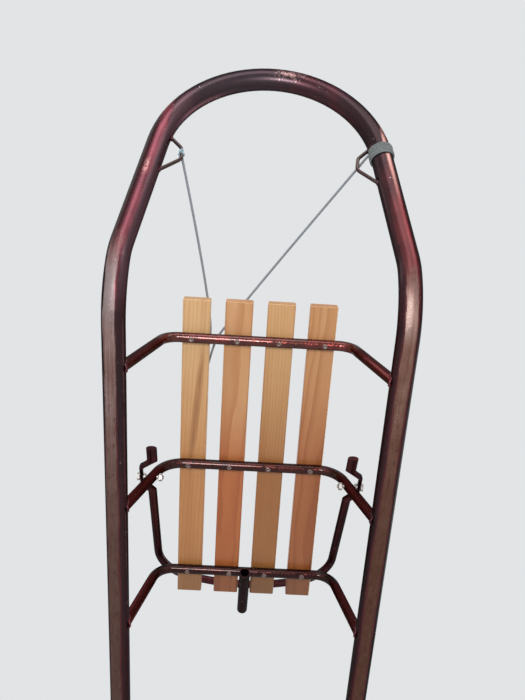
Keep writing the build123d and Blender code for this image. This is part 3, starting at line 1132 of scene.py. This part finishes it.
@dataclass
class Seat:
    """Three arches and the slats on them, with rivets through both."""

    tube_bottom: float = 0.130
    seat_top: float = 0.161
    tail_radius: float = 0.0041
    tail_height: float = 0.0015
    tail_seat: float = 0.0004
    head_radius: float = 0.0052
    head_height: float = 0.0009
    dish_share: float = 0.55
    dish_depth: float = 0.9
    squareness: float = 0.45
    tilt: float = 0.06
    segments: int = 24
    rings: int = 18
    growth: tuple[float, float] = (0.93, 1.06)
    seed: int = 7
    # Painted shade: the middle and rear arches carry darker copies of the front arch's paint, darker towards the
    # rear.
    arches: tuple[ArchPaint, ...] = (
        ArchPaint("arch_front_paint", (0.155, 0.024, 0.020), (0.060, 0.017, 0.012), scratch_amount=0.55,
                  gloss=0.60, dents=(-0.0971, -0.0312, 0.0291, 0.0953)),
        ArchPaint("arch_middle_paint", (0.066, 0.009, 0.006), (0.024, 0.006, 0.004), scratch_amount=0.55,
                  gloss=0.44, dents=(-0.0968, -0.0338, 0.0263, 0.0915)),
        ArchPaint("arch_rear_paint", (0.034, 0.006, 0.004), (0.013, 0.004, 0.003), scratch_amount=0.55,
                  gloss=0.34, dents=(-0.0946, -0.0257, 0.0320, 0.0942)),
    )
    rivet: ZincPlate = ZincPlate("rivet_steel", (0.25, 0.165, 0.15), (0.095, 0.055, 0.05), stained=0.6)
    slats: tuple[VarnishedPine, ...] = (
        VarnishedPine("slat_pine_1", -0.0915, (0.70, 0.43, 0.205), (0.62, 0.35, 0.15), (0.47, 0.225, 0.08),
                      (0.055, -0.035), 0.030, 0.0052, 3.1, (0.0098, 0.0058, -0.0030), ringed=0.34),
        VarnishedPine("slat_pine_2", -0.0305, (0.68, 0.380, 0.185), (0.60, 0.305, 0.130), (0.46, 0.19, 0.065),
                      (-0.010, -0.090), 0.012, 0.0042, 11.7, rear_darkening=(0.79, 0.44, 0.26), darkening_from=-0.04),
        VarnishedPine("slat_pine_3", 0.0305, (0.65, 0.375, 0.165), (0.57, 0.295, 0.115), (0.42, 0.185, 0.06),
                      (-0.070, -0.020), -0.010, 0.0047, 23.3, rear_darkening=(0.66, 0.48, 0.34), ringed=0.36),
        VarnishedPine("slat_pine_4", 0.0915, (0.63, 0.330, 0.150), (0.55, 0.260, 0.098), (0.41, 0.165, 0.05),
                      (0.020, 0.075), 0.022, 0.0036, 31.9, pale_edge=0.8, rear_darkening=(0.72, 0.47, 0.35),
                      crack=(0.0160, 0.287)),
    )

    def rivet_ends(self, name: str, height: float, radius: float, rise: float, dished: float,
                   material: bpy.types.Material) -> None:
        """Set a round rivet end at every crossing of slat and arch.

        Args:
            name: The piece's name.
            height: The surface that the ends stand on.
            radius: Their radius.
            rise: How far they stand out, below 0 where they face down.
            dished: The share of the radius over which the middle is dished.
            material: Their finish.
        """
        tree = Pattern(name)
        points, wide, high, hollow, seed = tree.sizes(
            {"Radius": radius, "Rise": rise, "Hollow": dished, "Seed": self.seed})
        ball = tree.make("GeometryNodeMeshUVSphere", None,
                         {"Segments": self.segments, "Rings": self.rings, "Radius": 1.0})
        x, y, z = tree.axes(tree.make("GeometryNodeInputPosition"))
        from_middle = (x * x + y * y).math("SQRT")
        dish = 1 - (1 - from_middle / hollow.math("MAXIMUM", 0.001)).math("MAXIMUM", 0.0) * self.dish_depth
        flat = z.math("SIGN") * abs(z) ** self.squareness
        head = tree.make("GeometryNodeSetPosition", None,
                         {"Geometry": ball, "Position": tree.vector(x * wide, y * wide, flat * dish * high)})
        turn = tree.make("FunctionNodeRandomValue", {"data_type": "FLOAT_VECTOR"},
                         {0: (-self.tilt, -self.tilt, 0.0), 1: (self.tilt, self.tilt, math.tau), "Seed": seed})
        grown = tree.make("FunctionNodeRandomValue", {"data_type": "FLOAT"},
                          {2: self.growth[0], 3: self.growth[1], "Seed": seed}, output=1)
        many = tree.make("GeometryNodeInstanceOnPoints", None,
                         {"Points": points, "Instance": head, "Rotation": turn, "Scale": grown})
        places = [(across, station, height) for station, arch in zip(ARCH_STATIONS, self.arches)
                  for across in arch.dents]
        adopt(joined(tree.run(places, (), many, material)), name, material, split=60)

    def build(self) -> None:
        """Dress the seat's solids and rivet them."""
        for node, paint in zip(("arch_front", "arch_middle", "arch_rear"), self.arches):
            dress_node(node, paint.build())
        for index, pine in enumerate(self.slats):
            dress_node(f"slat_{index + 1}", pine.build())
        steel = self.rivet.build()
        self.rivet_ends("rivet_tails", self.tube_bottom + self.tail_seat, self.tail_radius, -self.tail_height,
                        self.dish_share, steel)
        self.rivet_ends("rivet_heads", self.seat_top, self.head_radius, self.head_height, 0.0, steel)


@dataclass
class Hinge:
    """Bolts, nuts and washers between the middle legs and the backrest's arms."""

    axis_y: float = 0.104901
    axis_z: float = 0.0925
    flats: float = 0.010
    head_seat: float = 0.164312
    head_height: float = 0.004
    nut_seat: float = 0.136302
    nut_height: float = 0.005
    bolt_radius: float = 0.003
    tip_share: float = 0.80
    root_share: float = 0.86
    crest_share: float = 0.995
    hole_share: float = 1.002
    facets: int = 36
    tip: float = 0.002
    pitch: float = 0.0008
    thread_start: float = 0.0003
    thread_end: float = 0.0085
    plate: ZincPlate = ZincPlate(name="bolt_zinc", stained=0.35)

    def on_axis(self, side: Side, x: float) -> Point:
        """Return a point of the hinge's axis."""
        return (side.value * x, self.axis_y, self.axis_z)

    def shank(self, side: Side) -> bpy.types.Mesh:
        """Model the bolt's shank, with its thread where it leaves the nut.

        Args:
            side: The side that the bolt is on.

        Returns:
            The shank's mesh.
        """
        start = self.nut_seat - self.nut_height - self.tip
        root, crest = self.bolt_radius * self.root_share, self.bolt_radius * self.crest_share
        profile = [(0.0, 0.0), (self.bolt_radius * self.tip_share, 0.0)]
        height = self.thread_start
        while height < self.thread_end:
            profile += [(root, height), (crest, height + self.pitch * 0.5)]
            height += self.pitch
        profile += [(crest, height), (crest, self.head_seat - start), (0.0, self.head_seat - start)]
        return turned(profile, self.on_axis(side, start), (side.value, 0.0, 0.0), self.facets)

    def build(self) -> None:
        """Replace the plain bolts and nuts and dress the washers."""
        zinc = self.plate.build()
        for side in Side:
            label = side.name.lower()
            head = hexagon(self.flats, self.head_height, 0.0, self.on_axis(side, self.head_seat),
                           (side.value, 0.0, 0.0))
            nut = hexagon(self.flats, self.nut_height, self.bolt_radius * self.hole_share,
                          self.on_axis(side, self.nut_seat), (-side.value, 0.0, 0.0))
            for part, mesh in (("bolt", joined(head, self.shank(side))), ("nut", nut)):
                adopt(mesh, f"hinge_{part}_{label}_detail", zinc, instead_of=f"hinge_{part}_{label}")
            dress_node(f"hinge_washer_{label}", zinc)


@dataclass
class Backrest:
    """The folding frame."""

    paint: CherryPaint = CherryPaint("backrest_paint", (0.075, 0.018, 0.020), (0.026, 0.011, 0.012),
                                     scratch_amount=0.5)

    def build(self) -> None:
        """Give the frame its finish."""
        dress_node("backrest_frame", self.paint.build())


def seam(start: Vector, ahead: Vector, radius: float, foot: Vector, along: Vector, core: float,
         steps: int) -> list[Point]:
    """Trace the line where one round tube leaves another.

    Args:
        start: A point on the leaving tube's axis, inside the other tube.
        ahead: The leaving tube's direction.
        radius: Its radius.
        foot: A point on the other tube's axis.
        along: The other tube's direction.
        core: The other tube's radius.
        steps: Points on the line.

    Returns:
        Points once round the leaving tube.
    """
    ahead, along = ahead.normalized(), along.normalized()
    side = ahead.orthogonal().normalized()
    over = ahead.cross(side)
    square_ahead = ahead - along * ahead.dot(along)
    path = []
    for step in range(steps):
        angle = math.tau * step / steps
        point = start + radius * (math.cos(angle) * side + math.sin(angle) * over)
        away = point - foot
        away -= along * away.dot(along)
        half_b, span = away.dot(square_ahead), square_ahead.dot(square_ahead)
        rest = away.dot(away) - core ** 2
        path.append(tuple(point + ahead * ((math.sqrt(max(half_b ** 2 - span * rest, 0.0)) - half_b) / span)))
    return path


@dataclass
class Welds:
    """Weld beads where the arches, the socket and the tow loops meet their tubes."""

    shoulders: tuple[float, ...] = (0.134, 0.1315, 0.142)
    foot: float = 0.172
    bar_height: float = 0.1375
    foot_steps: int = 48
    socket_steps: int = 32
    wire_radius: float = 0.0025
    wire_steps: int = 24
    wire_lean: tuple[float, float] = (0.00167, 0.010)
    wire_ends: tuple[tuple[float, float, float, float], ...] = (
        (0.258, 0.14780, 0.1205, 0.229), (0.178, 0.16267, 0.1185, 0.210))
    socket_cross: Point = (0.0, 0.309632, 0.123310)
    socket_lift: float = math.radians(22)
    socket_radius: float = 0.0086
    socket_drop: float = 0.0153
    ripple_share: float = 0.18
    # Each bead's radius, the length of one ripple and the sections along a seam
    foot_bead: tuple[float, float, int] = (0.0017, 0.0021, 132)
    socket_bead: tuple[float, float, int] = (0.0023, 0.0024, 60)
    wire_bead: tuple[float, float, int] = (0.0011, 0.0014, 48)
    paint: CherryPaint = CherryPaint("weld_paint", scratch_amount=0.7, gloss=0.30)

    def feet(self) -> list[list[Point]]:
        """Trace the seams of the arches' feet.

        Returns:
            The six seams.
        """
        paths = []
        for side in Side:
            for station, shoulder in zip(ARCH_STATIONS, self.shoulders):
                up = Vector((side.value * (shoulder - self.foot), 0.0, self.bar_height - RUNNER_Z))
                paths.append(seam(Vector((side.value * self.foot, station, RUNNER_Z)), up, LEG_RADIUS,
                                  Vector((side.value * RUNNER_X, station, RUNNER_Z)), Vector((0.0, 1.0, 0.0)),
                                  RUNNER_RADIUS, self.foot_steps))
        return paths

    def wires(self) -> list[list[Point]]:
        """Trace the seams of the tow loops' ends.

        Returns:
            The four seams.
        """
        paths = []
        inward, ahead_by = self.wire_lean
        for side in Side:
            for reach, half, inner_half, inner_reach in self.wire_ends:
                start = nose_point(side.value * half, reach)
                inner = nose_point(side.value * inner_half, inner_reach)
                ahead = nose_point(side.value * (half - inward), reach + ahead_by) - start
                paths.append(seam(start, inner - start, self.wire_radius, start, ahead, RUNNER_RADIUS,
                                  self.wire_steps))
        return paths

    def socket(self) -> list[list[Point]]:
        """Trace the seam between the socket's crest and the rear arch.

        Returns:
            The one seam.
        """
        along = Vector((0.0, math.cos(self.socket_lift), math.sin(self.socket_lift)))
        up = Vector((0.0, -math.sin(self.socket_lift), math.cos(self.socket_lift)))
        widest = math.acos((self.socket_drop - LEG_RADIUS) / self.socket_radius)
        path = []
        for step in range(self.socket_steps):
            angle = math.tau * step / self.socket_steps
            turn = widest * math.sin(angle)
            rest = LEG_RADIUS ** 2 - (self.socket_drop - self.socket_radius * math.cos(turn)) ** 2
            reach = math.copysign(math.sqrt(max(rest, 0.0)), math.cos(angle))
            around = self.socket_radius * (math.cos(turn) * up + Vector((math.sin(turn), 0.0, 0.0)))
            path.append(tuple(Vector(self.socket_cross) + along * reach + around))
        return [path]

    def bead(self, name: str, paths: Sequence[Sequence[Point]], radius: float, ripple: float, count: int,
             material: bpy.types.Material) -> None:
        """Lay a rippled bead along closed seams.

        Args:
            name: The piece's name.
            paths: The seams.
            radius: The bead's radius.
            ripple: The length of one ripple.
            count: Sections along each seam.
            material: Their finish.
        """
        points = [point for path in paths for point in path]
        edges, first = [], 0
        for path in paths:
            edges += [(first + step, first + (step + 1) % len(path)) for step in range(len(path))]
            first += len(path)
        tree = Pattern(name)
        seams, wide, long, share, sections = tree.sizes(
            {"Bead radius": radius, "Ripple length": ripple, "Ripple share": self.ripple_share, "Sections": count})
        line = tree.make("GeometryNodeMeshToCurve", None, {"Mesh": seams})
        fine = tree.make("GeometryNodeResampleCurve", None, {"Curve": line, "Count": sections})
        along = tree.make("GeometryNodeSplineParameter", output="Length")
        width = wide * (1 + (along / long * math.tau).math("SINE") * share)
        section = tree.make("GeometryNodeCurvePrimitiveCircle", {"mode": "RADIUS"}, {"Resolution": 10, "Radius": 1.0})
        swept = tree.make("GeometryNodeCurveToMesh", None, {"Curve": fine, "Profile Curve": section, "Scale": width})
        adopt(tree.run(points, edges, swept, material), name, material, split=80)

    def build(self) -> None:
        """Lay the beads."""
        paint = self.paint.build()
        for name, paths, sizes in (("weld_beads", self.feet(), self.foot_bead),
                                   ("socket_weld", self.socket(), self.socket_bead),
                                   ("loop_welds", self.wires(), self.wire_bead)):
            self.bead(name, paths, *sizes, paint)


@dataclass
class TowCord:
    """The tow cord, its knot on the right loop and its turns round the left side of the nose."""

    radius: float = 0.00175
    sides: int = 12
    length: float = 1.333
    start: Point = (-0.1190, -0.3495, 0.1672)
    onto_seat: Point = (-0.0640, -0.1130, 0.1630)
    lay: tuple[tuple[float, float], ...] = (
        (-0.0820, -0.0780), (-0.0980, -0.0420), (-0.1040, 0.0050), (-0.1010, 0.0520), (-0.1045, 0.0980),
        (-0.1015, 0.1420), (-0.1050, 0.1840), (-0.1035, 0.2160), (-0.1055, 0.2460), (-0.0997, 0.2612),
        (-0.0833, 0.2612), (-0.0775, 0.2460), (-0.0800, 0.2170), (-0.0775, 0.1860), (-0.0810, 0.1430),
        (-0.0780, 0.0970), (-0.0820, 0.0520), (-0.0790, 0.0060), (-0.0765, -0.0380), (-0.0680, -0.0760))
    lay_height: float = 0.1628
    off_seat: Point = (-0.0580, -0.1070, 0.1630)
    end: Point = (0.1360, -0.3660, 0.1800)
    wrap_centre: Point = (0.15263, -0.366391, 0.180541)
    wrap_turns: int = 7
    wrap_strand: float = 0.0012
    wrap_sides: int = 8
    steps_per_turn: int = 40
    knot_centre: Point = (-0.1195, -0.353309, 0.16746)
    knot_size: float = 0.00115
    knot_strand: float = 0.0015
    knot_sides: int = 10
    knot_steps: int = 120
    braid: BraidedCord = BraidedCord()
    pale: BraidedCord = BraidedCord("wrap_cord_braid", (0.20, 0.225, 0.23), (0.075, 0.090, 0.094),
                                    (0.36, 0.39, 0.40), 5)
    teal: BraidedCord = BraidedCord("knot_cord_braid", (0.36, 0.50, 0.56), (0.10, 0.24, 0.30),
                                    (0.66, 0.72, 0.75), 5)

    def centre_line(self) -> list[Vector]:
        """Run a smooth line from the knot, to and fro on slat 1, and out to the winding.

        Returns:
            Points along the line.
        """
        route = (self.start, self.onto_seat, *((x, y, self.lay_height) for x, y in self.lay), self.off_seat, self.end)
        curve = bpy.data.curves.new("tow_cord_route", "CURVE")
        curve.dimensions = "3D"
        curve.resolution_u = 24
        spline = curve.splines.new("NURBS")
        spline.points.add(len(route) - 1)
        for point, place in zip(spline.points, route):
            point.co = (*place, 1.0)
        spline.order_u = 3
        spline.use_endpoint_u = True
        carrier = bpy.data.objects.new("tow_cord_route", curve)
        bpy.context.scene.collection.objects.link(carrier)
        mesh = evaluated(carrier)
        line = [vertex.co.copy() for vertex in mesh.vertices]
        bpy.data.objects.remove(carrier)
        bpy.data.curves.remove(curve)
        bpy.data.meshes.remove(mesh)
        return line

    def winding(self) -> list[Vector]:
        """Wind a strand round the nose's left side, turn by turn, a little unevenly.

        Returns:
            Points along the strand.
        """
        along = Vector((-math.sin(NOSE_TAPER), -math.cos(NOSE_TAPER) * math.cos(NOSE_SLOPE),
                        math.cos(NOSE_TAPER) * math.sin(NOSE_SLOPE))).normalized()
        across = along.orthogonal().normalized()
        up = along.cross(across)
        turns, strand = self.wrap_turns, self.wrap_strand
        steps = self.steps_per_turn * turns
        path = []
        for step in range(steps + 1):
            share = step / steps
            angle = math.tau * turns * share
            wobble = 1 + 0.02 * math.sin(angle * 2.3) + 0.015 * math.sin(angle * 0.7 + 1.0)
            radius = (RUNNER_RADIUS + strand * 1.02) * (1 + (wobble - 1) * 0.5)
            shift = (share - 0.5) * turns * strand * 2.04
            path.append(Vector(self.wrap_centre) + along * shift
                        + radius * (math.cos(angle) * across + math.sin(angle) * up))
        return path

    def knot(self) -> list[Vector]:
        """Tie the knot.

        Returns:
            Points once round its strand.
        """
        path = []
        for step in range(self.knot_steps):
            angle = math.tau * step / self.knot_steps
            path.append(Vector(self.knot_centre) + self.knot_size * Vector((
                math.sin(angle) + 2 * math.sin(2 * angle),
                1.35 * (math.cos(angle) - 2 * math.cos(2 * angle)),
                -1.5 * math.sin(3 * angle))))
        return path

    def build(self) -> None:
        line = self.centre_line()
        cord, wrap, knot = (
            adopt(mesh, name, braid.build(), split=80, instead_of=node)
            for mesh, name, braid, node in (
                (tube(line, self.radius, self.sides), "tow_cord_braided", self.braid, "tow_cord"),
                (tube(self.winding(), self.wrap_strand, self.wrap_sides), "cord_wrap_turns", self.pale, "cord_wrap"),
                (tube(self.knot(), self.knot_strand, self.knot_sides, closed=True), "cord_knot_turns", self.teal,
                 "cord_knot")))


@dataclass
class Fittings:
    """The tow loops and the handle socket."""

    loop: CherryPaint = CherryPaint("fitting_paint", (0.062, 0.030, 0.027), (0.026, 0.015, 0.014),
                                    scratch_amount=0.8, gloss=0.60)
    socket: CherryPaint = CherryPaint("socket_paint", (0.060, 0.020, 0.020), (0.022, 0.011, 0.011),
                                      scratch_amount=0.6)

    def build(self) -> None:
        """Give the fittings their finish."""
        paint = self.loop.build()
        for side in Side:
            dress_node(f"tow_loop_{side.name.lower()}", paint)
        dress_node("handle_socket", self.socket.build())


# Stage


@dataclass
class Studio:
    """Camera, lamps, floor and background."""

    camera_place: Point = (-0.017, -0.4111, -0.749)
    turn: Point = (math.radians(-20.05), math.radians(0.23), math.radians(-3.46))
    lens: float = 33.43
    background: Colour = (0.76, 0.775, 0.79)
    world_light: float = 0.40
    lamps: tuple[tuple[str, Point, Point, float, float], ...] = (
        ("lamp_above_nose", (-2.1, -1.5, 1.9), (0.0, 0.0, 0.1), 2.2, 36.0),
        ("lamp_above_tail", (2.3, 1.3, 1.5), (0.0, 0.1, 0.1), 2.0, 26.0),
        ("lamp_ahead_right", (-0.22, -3.10, -0.02), (0.0, -0.3, 0.1), 1.7, 22.0),
        ("lamp_ahead_left", (1.52, -2.78, 0.49), (0.0, -0.3, 0.1), 1.7, 23.0),
        ("lamp_below_nose", (-0.12, -0.62, -0.86), (0.0, -0.05, 0.1), 0.36, 8.6),
    )
    floor_half: float = 60.0
    floor_drop: float = 0.0002
    floor_finish: PaleFloor = PaleFloor()

    def camera(self) -> None:
        """Stand the camera where the photograph was taken from."""
        turn_x, turn_y, turn_z = (Matrix.Rotation(angle, 3, axis) for angle, axis in zip(self.turn, "XYZ"))
        right, down, ahead = (turn_z @ turn_y @ turn_x).col
        data = bpy.data.cameras.new("camera")
        data.lens = self.lens
        data.sensor_width = 36.0
        data.clip_start = 0.01
        camera = bpy.data.objects.new("camera", data)
        bpy.context.scene.collection.objects.link(camera)
        rows = [(right[row], -down[row], -ahead[row], self.camera_place[row]) for row in range(3)]
        camera.matrix_world = Matrix((*rows, (0.0, 0.0, 0.0, 1.0)))
        bpy.context.scene.camera = camera

    def light(self) -> None:
        """Hang the lamps and colour the background."""
        for name, place, target, size, power in self.lamps:
            data = bpy.data.lights.new(name, "AREA")
            data.shape = "DISK"
            data.size = size
            data.energy = power
            lamp = bpy.data.objects.new(name, data)
            bpy.context.scene.collection.objects.link(lamp)
            lamp.location = place
            lamp.visible_camera = False
            lamp.rotation_euler = (Vector(target) - Vector(place)).to_track_quat("-Z", "Y").to_euler()
        world = bpy.data.worlds.new("studio")
        world.use_nodes = True
        bpy.context.scene.world = world
        tree = NodeTree(world.node_tree)
        rays = tree.node("ShaderNodeLightPath").outputs
        camera, glossy, through = (Signal(tree, rays[f"Is {kind} Ray"])
                                   for kind in ("Camera", "Glossy", "Transmission"))
        seen = (camera + glossy + through).math("MINIMUM", 1.0)
        shown = tree.make("ShaderNodeBackground", None, {"Color": self.background, "Strength": 1.0})
        lit = tree.make("ShaderNodeBackground", None, {"Color": (1.0, 1.0, 1.0), "Strength": self.world_light})
        mixed = tree.make("ShaderNodeMixShader", None, {0: seen, 1: lit, 2: shown})
        tree.node("ShaderNodeOutputWorld", None, {"Surface": mixed})

    def floor(self) -> None:
        """Lay the floor just under the runners."""
        build = bmesh.new()
        bmesh.ops.create_grid(build, x_segments=2, y_segments=2, size=self.floor_half)
        bmesh.ops.translate(build, verts=build.verts, vec=(0.0, 0.0, -self.floor_drop))
        mesh = bpy.data.meshes.new("stage_floor")
        build.to_mesh(mesh)
        build.free()
        mesh.materials.append(self.floor_finish.build())
        floor = bpy.data.objects.new("stage_floor", mesh)
        bpy.context.scene.collection.objects.link(floor)

    def build(self) -> None:
        """Set the whole stage."""
        self.camera()
        self.light()
        self.floor()
        bpy.context.scene.view_settings.view_transform = "Standard"


def main() -> None:
    """Build the sled's looks in order and log each part as it is built."""
    logging.basicConfig(level=logging.INFO, format="%(name)s: %(message)s")
    for part in (Studio(), TowCord(), Runner(), Seat(), Backrest(), Fittings(), Hinge(), Welds()):
        part.build()
        LOG.info("%s is built", type(part).__name__)


if __name__ == "__main__":
    main()
